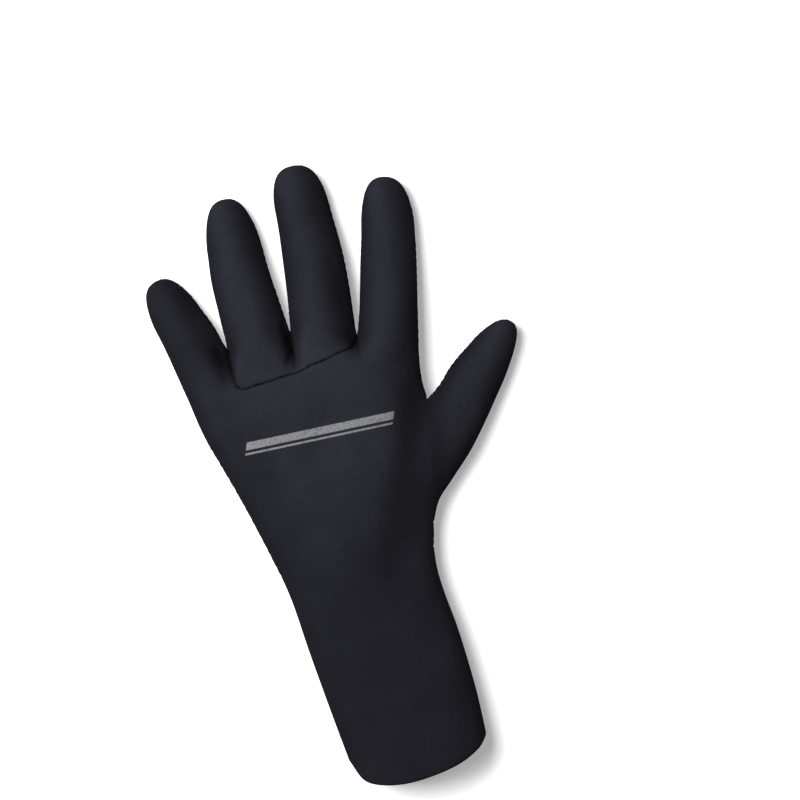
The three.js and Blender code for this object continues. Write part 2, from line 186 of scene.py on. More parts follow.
def spaced(length, cell, start=np.inf, end=np.inf):
    """Shares from 0 to 1 of a stretch, cut into cells of about the given size. Near an end
    that has its own fine cell, the size grows from there by a third of the distance. The
    number of cells up to a place is the integral of one over the cell size."""
    x = np.linspace(0, length, 3000)
    size = np.minimum(cell, np.minimum(start + x / 3, end + (length - x) / 3))
    count = np.concatenate([[0], np.cumsum((1 / size[1:] + 1 / size[:-1]) / 2 * np.diff(x))])
    cells = int(np.ceil(count[-1]))
    return np.interp(np.linspace(0, count[-1], cells + 1), count, x) / length


def half_circle(count):
    """Shares that crowd towards both ends, as equal steps round a half circle do."""
    return (1 - np.cos(np.linspace(0, np.pi, count + 1))) / 2


# %% [markdown]
# ## The outline seen from above
#
# A limb is described row by row: two curves give its left and right edge, and towards the
# tip the width closes as an ellipse does.

# %% Limbs
CELLS_ACROSS = 36  # of a finger
ROW_CELL = 1.5  # size of a cell along the glove, and next to a seam
FINE_CELL = 0.22
TIP_ROWS = 26


def limb_points(limb, rows, across):
    """Points of a limb: the middle between its two edge curves, plus the share across times
    the edge distance, times the width that an ellipse leaves past cap_from."""
    last = len(limb["left"]) - 1
    left, right = curve(limb["left"], rows / last), curve(limb["right"], rows / last)
    past = np.maximum(0, (rows - limb["cap_from"]) / (last - limb["cap_from"]))
    reach = (right - left) * np.sqrt(np.maximum(0, 1 - past**2))[:, None]
    return (left + right)[:, None] / 2 + (across - 0.5)[None, :, None] * reach[:, None]


# %% [markdown]
# ## Height of the skin
#
# Blow up a flat outline and it rises steeply from its edge and levels off further in. The
# height copies that with one number, the distance to the side seam. The plain distance has
# a sharp ridge along each finger, so a smooth one is used, which listens to all of the seam.

# %% Distance to the side seam
def distance_to_seam(points, seam):
    """Each stretch of seam adds the integral of one over the cube of the distance to it, and
    the result is the square root of two over the sum. One straight seam alone gives back
    the true distance."""
    stretch = np.diff(seam, axis=0)
    length = np.linalg.norm(stretch, axis=1)
    real = length > 1e-6
    start_at, along, length = seam[:-1][real], unit(stretch[real]), length[real]
    total = np.empty(len(points))
    for part in np.array_split(np.arange(len(points)), len(points) // 1200 + 1):
        to_start = start_at - points[part][:, None]
        start = (to_start * along).sum(-1)
        end = start + length
        aside = to_start[..., 0] * along[:, 1] - to_start[..., 1] * along[:, 0]
        squared = np.maximum(aside**2, 1e-8)
        share = end / np.sqrt(end**2 + squared) - start / np.sqrt(start**2 + squared)
        total[part] = (share / squared).sum(1)
    return np.sqrt(2 / total)


def profile_at(y):
    """Seam height, rise and drop at y, eased between the rows of the table."""
    at = PROFILE[:, 0]
    k = np.clip(np.searchsorted(at, y, side="right") - 1, 0, len(PROFILE) - 2)
    t = smoothstep((y - at[k]) / (at[k + 1] - at[k]))[:, None]
    return mix(PROFILE[k, 1:], PROFILE[k + 1, 1:], t).T


# %% Creases, and the slow waves of the foam rubber
CREASES = table(  # sharp folds in the three valleys, a fuller edge beside one, and its fork; shade is the strength of the painted shade along each line
    "from to depth left right shade",
    (LITTLE_RING, (-50.8, 198), 3.0, 5, 0.9, 0.8),
    (LITTLE_RING, (-49.2, 190), 0.6, 1.2, 1.2, 1.0),
    (RING_MIDDLE, (-19.0, 199), 5.5, 2.8, 0.8, 1.0),
    ((-21.6, 226), (-22.4, 204), -2.4, 3.0, 2.4, 0.0),
    (MIDDLE_INDEX, (13.6, 202), 3.0, 3, 0.9, 1.0),
    ((-18.6, 212), (-26.0, 201.6), 1.4, 0.9, 0.9, 1.0),
    ((-18.4, 214), (-18.9, 199), 1.2, 0.8, 0.8, 1.0),
)
OPEN_AT = 5.0  # a crease is full depth from this distance to the side seam on
WAVES = [  # length, direction in degrees, phase and height of each slow wave
    (61, 20, 0.4, 0.45),
    (47, 75, 2.1, 0.40),
    (38, 118, 4.0, 0.30),
    (29, 48, 1.2, 0.20),
    (23, 160, 5.2, 0.14),
    (17, 95, 3.3, 0.07),
]
FULL_WAVES_AT = 9.0  # and a wave is full height from this one on


def depths(points, rows, column="depth", fading=True):
    """For each row of a table, its value times a bell across its line. The bell reaches further
    on one side than on the other, and its reach goes over smoothly round the line's ends. A
    fading one goes by a smooth step from the line's start to nothing at its end."""
    found = []
    for row in rows:
        start, run = np.array(row["from"], float), np.subtract(row["to"], row["from"])
        share = np.clip((points - start) @ run / (run @ run), 0, 1)
        off = points - start - share[:, None] * run
        far = np.linalg.norm(off, axis=1)
        rightness = smoothstep((1 + off[:, 0] / np.maximum(far, 1e-9)) / 2)
        bell = np.exp(-((far / mix(row["left"], row["right"], rightness)) ** 2))
        found.append(row[column] * bell * (smoothstep(1 - share) if fading else 1))
    return np.array(found)


def sink_at(points):
    """The sum of all furrows and hollows."""
    return depths(points, FURROWS).sum(0) + depths(points, HOLLOWS, fading=False).sum(0)


def waves_at(points):
    """The sum of a few long sine waves, each with its own length and direction."""
    length, degrees, phase, height = np.array(WAVES).T
    travel = points @ np.array([np.cos(np.radians(degrees)), np.sin(np.radians(degrees))])
    return (height * np.sin(2 * np.pi * travel / length + phase)).sum(1)


# %% Heights of the two skins
STUD_HEIGHT, UNDER_STUDS = 0.5, 0.05  # and the air between the studs and the ground
LIFT_FROM, LIFT_OVER = 92.0, 9.0  # the cuff's underside rises to the studded palm over this stretch
GROUND_ROUNDING = 0.8  # of the corner where the palm comes to lie on the ground
PALM_WAVES = 0.12  # share of the back's waves that the palm has


def skin_heights(points, droop, outline):
    """Top and bottom of the glove over a point: the seam's height plus or minus the rise or
    drop, times the square root of one minus e to the minus distance over rounding. The back
    is pressed in by the furrows. The palm is no lower than the ground, clear by a stud's
    height, and the larger of the two is (a + b + sqrt((a - b)^2 + rounding^2)) / 2."""
    seam, rise, drop = profile_at(points[:, 1])
    level = seam - droop
    d = distance_to_seam(points, outline)
    up = rise * np.sqrt(1 - np.exp(-d / ROUNDING_TOP))
    down = drop * np.sqrt(1 - np.exp(-d / ROUNDING_BOTTOM))
    waves = waves_at(points) * smoothstep(d / FULL_WAVES_AT)
    pressed = LEAST_RISE + (1 - LEAST_RISE) * np.exp(-sink_at(points) / (up * (1 - LEAST_RISE)))
    top = level + up * pressed + waves - depths(points, CREASES).sum(0) * smoothstep(d / OPEN_AT)
    ground = (STUD_HEIGHT + UNDER_STUDS) * smoothstep((points[:, 1] - LIFT_FROM) / LIFT_OVER)
    palm = level - down + PALM_WAVES * waves
    bottom = (ground + palm + np.sqrt((ground - palm) ** 2 + GROUND_ROUNDING**2)) / 2
    return top, np.maximum(bottom, ground), level, d


# %% [markdown]
# ## The grid
#
# The hand is one grid from the hem to the crotches, and each limb is a grid that starts
# from the hand's edge points. Where two grids meet they share their points, so the skin has
# no cracks. Each cell knows which panel it belongs to, above and below.

# %% Rows and columns
half = half_circle(CELLS_ACROSS)
wide_shares = half_circle(4 * CELLS_ACROSS)


def line(a, b, t):
    """Points on the straight line from a to b."""
    return mix(a, b, t[:, None])


def across_fingers(row):
    """Points across four fingers: each finger's width in half-circle steps."""
    stretches = [line(row[f], row[f + 1], half[:-1]) for f in range(4)]
    return np.concatenate([*stretches, np.array([row[4]], float)])


finger_shares = across_fingers([(f / 4, 0) for f in range(5)])[:, 0]
middle_shares = (wide_shares + finger_shares) / 2

# Across the thumb: half-circle steps, with a crowd of fine ones where the back wraps round it
WRAP_ANGLE = np.pi * 5 / 8
THUMB_ARC, THUMB_CELL = 13.0, 0.8
beyond = np.pi - WRAP_ANGLE
inner_angles = WRAP_ANGLE * spaced(WRAP_ANGLE * THUMB_ARC, THUMB_CELL, end=FINE_CELL)
outer_angles = WRAP_ANGLE + beyond * spaced(beyond * THUMB_ARC, THUMB_CELL, start=FINE_CELL)
thumb_shares = (1 - np.cos(np.concatenate([inner_angles, outer_angles[1:]]))) / 2
THUMB_INNER = len(inner_angles) - 1
print("columns:", len(wide_shares) - 1, "over the hand,", len(thumb_shares) - 1, "over the thumb")


# %% Patches between four curves
def patch(lower, upper, left, right, steps, shares):
    """A Coons patch: points between a lower and an upper row, shifted by what the left and
    right sides stand off from the straight lines between their ends. A side is a curve
    through its points, or a straight line where it has only two."""
    v, u = steps[:, None, None], shares[None, :, None]
    off = []
    for side, end in ((left, 0), (right, -1)):
        run = curve(side, steps) if len(side) > 2 else line(*side, steps)
        off.append(run[:, None] - mix(lower[end], upper[end], v))
    return mix(lower, upper, v) + mix(*off, u)


# %% The hand's grid
CUFF_LENGTH, HEEL_LENGTH, KNUCKLE_LENGTH, CROTCH_LENGTH = 106, 12, 20, 14
cuff_steps = spaced(CUFF_LENGTH, ROW_CELL, start=FINE_CELL, end=FINE_CELL)
heel_steps = spaced(HEEL_LENGTH, ROW_CELL, start=FINE_CELL)
root_steps = 1 - thumb_shares[::-1]
knuckle_steps = spaced(KNUCKLE_LENGTH, ROW_CELL, end=FINE_CELL)
crotch_steps = spaced(CROTCH_LENGTH, 1.2, start=FINE_CELL, end=0.15)

hem_row = curve(HEM, wide_shares)
wrist_row = line(WRIST_LEFT, WRIST_RIGHT, wide_shares)
heel_row = line(HEEL_LEFT, THUMB_ROOT, wide_shares)
palm_row = line(PALM_LEFT, THUMB_CROTCH, middle_shares)
seam_row, crotch_row = across_fingers(SEAM_ROW), across_fingers(CROTCH_ROW)

zones = [
    patch(hem_row, wrist_row, CUFF_LEFT, CUFF_RIGHT, cuff_steps, wide_shares),
    patch(wrist_row, heel_row, [WRIST_LEFT, HEEL_LEFT], [WRIST_RIGHT, THUMB_ROOT], heel_steps, wide_shares),
    patch(heel_row, palm_row, HAND_LEFT, [THUMB_ROOT, THUMB_CROTCH], root_steps, wide_shares),
    patch(palm_row, seam_row, KNUCKLE_LEFT, KNUCKLE_RIGHT, knuckle_steps, middle_shares),
    patch(seam_row, crotch_row, [SEAM_LEFT, LITTLE_SIDE], [SEAM_RIGHT, INDEX_SIDE], crotch_steps,
          finger_shares),
]
hand_grid = np.concatenate([zone[:-1] for zone in zones[:-1]] + [zones[-1]])
WRIST_AT, HEEL_AT, PALM_AT, SEAM_AT = np.cumsum([len(zone) - 1 for zone in zones])[:4]
print("the hand's grid:", hand_grid.shape[0], "rows of", hand_grid.shape[1], "points")

# %% Panels, and the blocks of the skin
BACK, RING_MIDDLE_BACK, PALM, THUMB_PALM, CUFF_PALM = range(5)
PANELS = ["back_panel", "ring_middle_back", "palm_grip", "thumb_grip", "cuff_palm"]


def block(grid, droop, edge, back, palm):
    """One grid of the skin: its points, how far each sags, which lie on the side seam, and
    the panel of each cell on the back and on the palm side."""
    rows, columns = grid.shape[:2]
    cells = (rows - 1, columns - 1)
    return {
        "grid": grid, "droop": np.broadcast_to(droop, (rows, columns)), "edge": edge,
        "back": np.broadcast_to(back, cells), "palm": np.broadcast_to(palm, cells),
    }


def hand_block():
    """The hand: its left and right columns lie on the side seam, except where the thumb
    leaves it, and so do the crotches in its last row."""
    rows, columns = hand_grid.shape[:2]
    j, i = np.arange(rows)[:, None], np.arange(columns)
    beside_thumb = (j > HEEL_AT) & (j < PALM_AT)
    crotch = (j == rows - 1) & (i % CELLS_ACROSS == 0)
    edge = crotch | (i == 0) | ((i == columns - 1) & ~beside_thumb)
    set_in = np.isin(i[:-1] // CELLS_ACROSS, (1, 2)) & (j[:-1] >= SEAM_AT)
    back = np.where(set_in, RING_MIDDLE_BACK, BACK)
    return block(hand_grid, 0.0, edge, back, np.where(j[:-1] < WRIST_AT, CUFF_PALM, PALM))


def limb_block(limb, shares, back, palm):
    """A finger or the thumb, sagging towards its tip. Its rows are spaced evenly up to cap_from,
    and then crowd towards the tip as the sine does."""
    full, last = limb["cap_from"], len(limb["left"]) - 1
    middle = np.add(limb["left"], limb["right"]) / 2
    straight = np.linalg.norm(np.diff(middle, axis=0), axis=1).sum() * full / last
    tip = np.sin(np.pi / 2 * np.arange(1, TIP_ROWS + 1) / TIP_ROWS)
    rows = np.concatenate([full * spaced(straight, ROW_CELL, start=0.3), full + (last - full) * tip])
    edge = (shares == 0) | (shares == 1) | (rows == last)[:, None]
    droop = limb["droop"] * smoothstep(rows / last)[:, None]
    return block(limb_points(limb, rows, shares), droop, edge, back, palm)


finger_backs = [BACK, RING_MIDDLE_BACK, RING_MIDDLE_BACK, BACK]
thumb_palm = np.where(np.arange(len(thumb_shares) - 1) < THUMB_INNER, THUMB_PALM, BACK)
blocks = [hand_block()] + [limb_block(limb, half, back, PALM) for limb, back in zip(LIMBS, finger_backs)]
blocks.append(limb_block(LIMBS[-1], thumb_shares, BACK, thumb_palm))
for f in range(4):  # the first row of each limb is the hand's own edge, to the last digit
    blocks[f + 1]["grid"][0] = hand_grid[-1, f * CELLS_ACROSS: (f + 1) * CELLS_ACROSS + 1]
blocks[-1]["grid"][0] = hand_grid[HEEL_AT: PALM_AT + 1, -1][::-1]
print("blocks:", [b["grid"].shape[:2] for b in blocks])

# %% The side seam, once round the glove
BEYOND_HEM = 70.0  # the seam is taken to run on past the hem, as it would on a longer cuff


def round_limb(grid):
    """Up the left edge of a limb's grid and down its right edge."""
    return np.concatenate([grid[:, 0], grid[::-1, -1]])


hand_right = hand_grid[::-1, -1]
side_seam = np.concatenate([
    [[HEM_LEFT[0] + 9, HEM_LEFT[1] - BEYOND_HEM]], hand_grid[:, 0],
    *[round_limb(b["grid"]) for b in blocks[1:5]],
    hand_right[:-PALM_AT], round_limb(blocks[-1]["grid"]), hand_right[-HEEL_AT - 1:],
    [[HEM_RIGHT[0] + 3, HEM_RIGHT[1] - BEYOND_HEM]],
])
print("the side seam has", len(side_seam), "points")

# %% [markdown]
# ## The knuckle seam
#
# The back of the ring and middle fingers is a piece of its own, let into the hand. Its
# corners are cut round, so the grid slides there along each corner's diagonal. The seam
# also wanders a little, as a line of glue and blind stitches does.

# %% Round its corners and let the seam wander
CORNERS = table(
    "at along up radius",
    (SEAM_ROW[1], SEAM_ROW[2], LITTLE_RING, 5.0),
    (SEAM_ROW[3], SEAM_ROW[2], MIDDLE_INDEX, 3.3),
)
WANDER = 0.16


def round_corner(points, corner):
    """In the skewed axes of the corner, p runs along the seam row and q along the furrow.
    A point at distance t = |p - q| from the diagonal moves along it by s, where the circle
    gives (r - t - s)^2 + (r - s)^2 = r^2. The move fades away from the seam as a bell."""
    at, along, up = (np.array(corner[key], float) for key in ("at", "along", "up"))
    along, up = unit(along - at), unit(up - at)
    p, q = np.linalg.solve(np.stack([along, up], axis=1), (points - at).T)
    r, t = corner["radius"], np.minimum(np.abs(p - q), corner["radius"])
    move = ((2 * r - t) - np.sqrt(np.maximum(2 * r**2 - t**2, 0))) / 2
    fade = np.exp(-((np.minimum(p, q) / r) ** 2)) * smoothstep(2 - np.maximum(np.abs(p), np.abs(q)) / r)
    return points + (move * fade)[:, None] * (along + up)


def wander(points):
    """Shifts points up and down near the knuckle seam by two short waves along it."""
    row = np.array(SEAM_ROW, float)
    x, y = points.T
    off = y - np.interp(x, row[:, 0], row[:, 1])
    inside = smoothstep((x - row[1, 0] - 4) / 4) * smoothstep((row[3, 0] - x) / 4)
    wave = np.sin(x / 2.3) + 0.6 * np.sin(x / 0.9 + 1)
    return np.column_stack([x, y + WANDER * wave * inside * np.exp(-((off / 3) ** 2))])


# %% Number the skin's points
def numbered(skin_blocks):
    """Points that two blocks share get one number: they are matched by their place rounded
    to a ten-thousandth of a millimetre."""
    flat = np.concatenate([b["grid"].reshape(-1, 2) for b in skin_blocks])
    droop, edge = (np.concatenate([b[key].reshape(-1) for b in skin_blocks]) for key in ("droop", "edge"))
    x, y = np.round(flat * 1e4).astype(np.int64).T
    _, first, number = np.unique(x * 100_000_000 + y, return_index=True, return_inverse=True)
    number = number.reshape(-1)
    seamed = np.zeros(len(first), bool)
    seamed[number[edge]] = True
    ends = np.cumsum([b["edge"].size for b in skin_blocks])[:-1]
    grids = [part.reshape(b["edge"].shape) for part, b in zip(np.split(number, ends), skin_blocks)]
    return flat[first], droop[first], seamed, grids


flat_points, flat_droop, on_edge, number_grids = numbered(blocks)
for corner in CORNERS:
    flat_points = round_corner(flat_points, corner)
flat_points = wander(flat_points)
top_z, bottom_z, level_z, from_seam = skin_heights(flat_points, flat_droop, side_seam)
top_z, bottom_z = np.where(on_edge, level_z, top_z), np.where(on_edge, level_z, bottom_z)
bottom_of = np.where(on_edge, np.arange(len(on_edge)), len(on_edge) + np.cumsum(~on_edge) - 1)


def two_sided(back, palm):
    """Values for all points of the skin: the back's, then the palm's that are off the seam."""
    return np.concatenate([back, palm[~on_edge]])


skin = np.column_stack([two_sided(flat_points, flat_points), two_sided(top_z, bottom_z)])
print("skin points:", len(skin), "from", round(skin[:, 2].min(), 2), "to", round(skin[:, 2].max(), 2), "mm")

# %% [markdown]
# ## Lengths over the skin
#
# A moulded grip runs over the surface, not over its shadow on the table. So each block
# measures its own palm side: how far every point is from the block's middle column, and
# each row from its first. The studs are set out by these lengths.

# %% Unroll each block
def unrolled(surface, start_across, start_along):
    """Two lengths for each point of a grid: across, over the skin from the middle column;
    along, the mean length of the skin from the first row."""
    steps = np.linalg.norm(np.diff(surface, axis=1), axis=2)
    across = np.concatenate([np.zeros((len(surface), 1)), np.cumsum(steps, axis=1)], axis=1)
    across = across - across[:, [surface.shape[1] // 2]] + start_across
    middle = surface[:, surface.shape[1] // 4: -surface.shape[1] // 4]
    along = np.concatenate([[0], np.cumsum(np.linalg.norm(np.diff(middle, axis=0), axis=2).mean(1))])
    return np.stack([across, np.broadcast_to((along + start_along)[:, None], across.shape)], axis=2)


palm_numbers = [bottom_of[n] for n in number_grids]
hand_lengths = unrolled(skin[palm_numbers[0]], 0.0, 0.0)
roots = [hand_lengths[-1, int((f + 0.5) * CELLS_ACROSS)] for f in range(4)] + [(0.0, 0.0)]
limb_lengths = [unrolled(skin[n], *root) for n, root in zip(palm_numbers[1:], roots)]
palm_lengths = [hand_lengths, *limb_lengths]
print("the palm is", round(float(np.ptp(hand_lengths[..., 0])), 1), "mm across over its skin")


# %% Faces of the skin
def corners(values):
    """The four corners of every cell of a grid, anticlockwise seen from above."""
    cells = [values[:-1, :-1], values[:-1, 1:], values[1:, 1:], values[1:, :-1]]
    return np.stack(cells, axis=2).reshape(-1, 4)


faces, face_panels, face_is_back = [], [], []
for b, back_n, palm_n in zip(blocks, number_grids, palm_numbers):
    faces += [corners(back_n), corners(palm_n)[:, ::-1]]
    face_panels += [b["back"].reshape(-1), b["palm"].reshape(-1)]
    face_is_back += [np.full(b["back"].size, True), np.full(b["palm"].size, False)]
faces, face_panels, face_is_back = map(np.concatenate, (faces, face_panels, face_is_back))
print("cells:", {name: int((face_panels == k).sum()) for k, name in enumerate(PANELS)})


# %% Directions that face outwards
def cell_normals(points, quads):
    """The cross product of each cell's two diagonals. Its length is twice the cell's area."""
    a, b, c, d = (points[quads[:, k]] for k in range(4))
    return np.cross(c - a, d - b)


def summed(numbers, vectors):
    """For each point of the skin, the sum of the vectors that go with its number."""
    return np.stack([np.bincount(numbers, vectors[:, k], len(skin)) for k in range(3)], axis=1)


def point_normals(points):
    """At each point, the mean of the unit normals of its cells."""
    return unit(summed(faces.reshape(-1), np.repeat(unit(cell_normals(points, faces)), 4, axis=0)))


outward = point_normals(skin)
print(int((outward[:, 2] > 0.99).sum()), "points face straight up")

# %% [markdown]
# Black jersey gets a paler nap where it is worn. The same mask also paints light and shade:
# the hand's raised parts and the fingertips get painted light, while the flanks, the
# hollows, most of the cuff and the little finger keep a deep black as painted shade.

# %% How rubbed the jersey is, with its painted light and shade
FLANK_SHADE_OVER = 10.0  # distance from the side seam at which the nap is fully rubbed and the flanks' painted shade ends
HOLLOW_SHADE_DEPTH = 5.0  # a hollow this deep lowers the lightening to a third, as painted shade
CUFF_LIGHT_SHARE, LITTLE_LIGHT_SHARE = 0.2, 0.3  # shares of it that the cuff and the little finger get, as painted shade there
TIP_REACH, TIP_GAIN = 14.0, 8.0  # so near a tip, the painted light reaches right out to the seam
WRIST_FROM, WRIST_OVER = 85.0, 55.0  # y where the hand's nap begins, and the stretch it takes
LITTLE_FROM, LITTLE_OVER = 195.0, 25.0  # the same for the little finger
LITTLE_RIGHT, LITTLE_EASE = -51.0, 4.0  # x that it lies left of, and the ease there


def wear_and_painted_light_share(points, distance):
    """A smooth step over the distance from the seam, times e to the minus depth over
    HOLLOW_SHADE_DEPTH, times smooth steps from the cuff's share up to one over the wrist, and down
    to the little finger's share from its root on. Round each tip a bell adds to the distance.
    It stands partly for worn jersey and partly for painted light and shade: painted shade on
    the flanks, in the hollows, on the cuff and the little finger, painted light at the tips."""
    tips = [np.mean([limb["left"][-1], limb["right"][-1]], axis=0) for limb in LIMBS]
    near_tip = np.max([np.exp(-((points - tip) ** 2).sum(1) / TIP_REACH**2) for tip in tips], axis=0)
    x, y = points.T
    little = smoothstep((y - LITTLE_FROM) / LITTLE_OVER) * smoothstep((LITTLE_RIGHT - x) / LITTLE_EASE)
    along = mix(CUFF_LIGHT_SHARE, 1, smoothstep((y - WRIST_FROM) / WRIST_OVER)) * mix(1, LITTLE_LIGHT_SHARE, little)
    raised = np.exp(-sink_at(points) / HOLLOW_SHADE_DEPTH)
    return smoothstep((distance + TIP_GAIN * near_tip) / FLANK_SHADE_OVER) * raised * along


# partly worn jersey, partly painted light and shade
wear_and_painted_light = wear_and_painted_light_share(flat_points, from_seam)
wear_and_painted_light = two_sided(wear_and_painted_light, wear_and_painted_light)
# painted shade along the creases, on the back only
painted_fold_shade = two_sided(depths(flat_points, CREASES, "shade").max(0), np.zeros(len(flat_points)))
print("rubbed:", np.round(np.percentile(wear_and_painted_light, [10, 50, 90]), 2), "in a fold:", int((painted_fold_shade > 0.3).sum()))

# %% [markdown]
# Neoprene is cut from a flat sheet, so the wales of its jersey run along the glove. The UV
# map is the pattern seen from above, let out sideways by the extra length that the skin
# has where it curves down to the side seam.

# %% Lay the jersey over the skin
def let_out(rise, rounding):
    """Extra length of the slope z = rise sqrt(1 - exp(-d / rounding)) from far inside to the
    distance d: the integral of sqrt(1 + z'^2) - 1."""
    d = np.linspace(0.02, 60, 4000)
    steps = np.hypot(np.diff(d), np.diff(rise * np.sqrt(1 - np.exp(-d / rounding)))) - np.diff(d)
    return d, np.concatenate([np.cumsum(steps[::-1])[::-1], [0]])


def jersey_uv(rise, rounding):
    """Pattern place plus the extra length, in the direction in which the skin leans."""
    extra = np.interp(from_seam, *let_out(rise, rounding))
    lean = outward[:, :2] / np.sqrt((outward[:, :2] ** 2).sum(1) + 0.02)[:, None]
    return skin[:, :2] + lean * two_sided(extra, extra)[:, None]


USUAL_RISE, USUAL_DROP = 20.0, 14.0
back_uv, palm_uv = jersey_uv(USUAL_RISE, ROUNDING_TOP), jersey_uv(USUAL_DROP, ROUNDING_BOTTOM)
face_uvs = np.where(face_is_back[:, None, None], back_uv[faces], palm_uv[faces])
print("the sheet for the back spans", np.round(np.ptp(back_uv, axis=0)), "mm")

# %% [markdown]
# ## Seams
#
# Two panels are glued edge to edge and blind-stitched from inside, which pulls the surface
# in along the join. The dip is a bell across the seam. Its distance is kept on the mesh,
# so that the materials can darken the stitched line.

# %% Open edges of each panel
def open_edges(quads):
    """Edges that only one cell has, each from its start to its end as that cell runs."""
    start, end = quads.reshape(-1), np.roll(quads, -1, axis=1).reshape(-1)
    start, end = start[start != end], end[start != end]
    key = np.minimum(start, end).astype(np.int64) * len(skin) + np.maximum(start, end)
    _, back, times = np.unique(key, return_inverse=True, return_counts=True)
    single = times[back.reshape(-1)] == 1
    return np.stack([start[single], end[single]], axis=1)


panel_edges = [open_edges(faces[face_panels == k]) for k in range(5)]
print("open edges:", {name: len(e) for name, e in zip(PANELS, panel_edges)})


# %% Distance to the seams
def distance_to_edges(points, edges, reach):
    """Distance from each point to the nearest of the given straight edges, or reach where it
    is further. Points far from every fifth edge are left out before the exact step."""
    a, span = skin[edges[:, 0]], skin[edges[:, 1]] - skin[edges[:, 0]]
    nearest = np.full(len(points), reach)
    marks = (a + span / 2)[::5]
    for part in np.array_split(np.arange(len(points)), len(points) // 2000 + 1):
        rough = ((points[part][:, None] - marks) ** 2).sum(-1).min(1)
        close = part[rough < (reach + 6) ** 2]
        for few in np.array_split(close, len(close) // 400 + 1):
            to = points[few][:, None] - a
            t = np.clip((to * span).sum(-1) / np.maximum((span**2).sum(-1), 1e-12), 0, 1)
            gap = ((to - t[..., None] * span) ** 2).sum(-1).min(1)
            nearest[few] = np.minimum(nearest[few], np.sqrt(gap))
    return nearest


REACH = 6.0
every_edge = np.unique(np.sort(np.concatenate(panel_edges), axis=1), axis=0)
back_edges, set_in_edges = (set(map(tuple, np.sort(e, axis=1))) for e in panel_edges[:2])
knuckle_edges = np.array(sorted(back_edges & set_in_edges))
seam_distance = distance_to_edges(skin, every_edge, REACH)
knuckle_distance = distance_to_edges(skin, knuckle_edges, REACH)
print("seam edges:", len(every_edge), "of which knuckle seam:", len(knuckle_edges))

# %% Pull the surface in along the seams, with a low roll beside the knuckle seam
ROLL_HEIGHT, ROLL_AT, ROLL_REACH = 0.35, 2.2, 1.6
LEAST_HEIGHT, LEAST_INSIDE = 0.02, 0.1  # of the outer and the inner face above the ground
seam_dip = SEAM_SINK * np.exp(-((seam_distance / SEAM_REACH) ** 2))
knuckle_roll = ROLL_HEIGHT * np.exp(-(((knuckle_distance - ROLL_AT) / ROLL_REACH) ** 2))
dressed = skin + outward * (knuckle_roll - seam_dip)[:, None]
dressed[:, 2] = np.maximum(dressed[:, 2], LEAST_HEIGHT)
dressed_normal = point_normals(dressed)
print("dips up to", round(seam_dip.max(), 2), "mm, roll up to", round(knuckle_roll.max(), 2), "mm")

# %% [markdown]
# ## From surface to panel
#
# A panel is its part of the skin, the same surface a wall's thickness further in, and the
# cut edge between them. Its edge is pulled back a hair, so two panels never share a face.

# %% Place the pattern in the frame
SHIFT = np.array([-3.708, -146.262, 0.0])  # brings the middle of the solid parts to the origin
print("skin from", np.round(dressed.min(0) + SHIFT, 1), "to", np.round(dressed.max(0) + SHIFT, 1), "mm")


def to_frame(points):
    """Pattern millimetres to metres in the frame."""
    return (points + SHIFT) * MM


def linked(name, data):
    """An object of the scene that shows the given data."""
    made = bpy.data.objects.new(name, data)
    bpy.context.scene.collection.objects.link(made)
    return made


def new_object(name, points, polygons, materials, uvs=None, slots=None, attributes=None):
    """A smooth mesh object at the origin from whole arrays. A polygon that repeats a corner
    loses the repeat. uvs has one row per polygon corner, attributes one number per point."""
    keep = polygons != np.roll(polygons, -1, axis=1)
    good = keep.sum(1) > 2
    keep &= good[:, None]
    sizes, loops = keep.sum(1)[good], polygons[keep]
    mesh = bpy.data.meshes.new(name)
    mesh.vertices.add(len(points))
    mesh.vertices.foreach_set("co", points.astype(np.float32).reshape(-1))
    mesh.loops.add(len(loops))
    mesh.loops.foreach_set("vertex_index", loops.astype(np.int32))
    mesh.polygons.add(len(sizes))
    mesh.polygons.foreach_set("loop_start", (np.cumsum(sizes) - sizes).astype(np.int32))
    mesh.polygons.foreach_set("use_smooth", np.full(len(sizes), True))
    for material in materials:
        mesh.materials.append(material)
    if slots is not None:
        mesh.polygons.foreach_set("material_index", slots.astype(np.int32)[good])
    mesh.update(calc_edges=True)
    if uvs is not None:
        layer = mesh.uv_layers.new(name="surface")
        layer.data.foreach_set("uv", uvs.astype(np.float32)[keep].reshape(-1))
    for label, values in (attributes or {}).items():
        mesh.attributes.new(label, "FLOAT", "POINT").data.foreach_set("value", values.astype(np.float32))
    mesh.validate()
    return linked(name, mesh)


# %% [markdown]
# ## Finishes
#
# Four finishes cover the glove: the knitted jersey outside, the same jersey as lining, the
# cut foam rubber at the hem, and the rubber of the grip. The knit is a pattern of V-shaped
# stitches worked out from the UV map. It is far too fine to model, so it only tilts the
# surface a little and changes its tone.

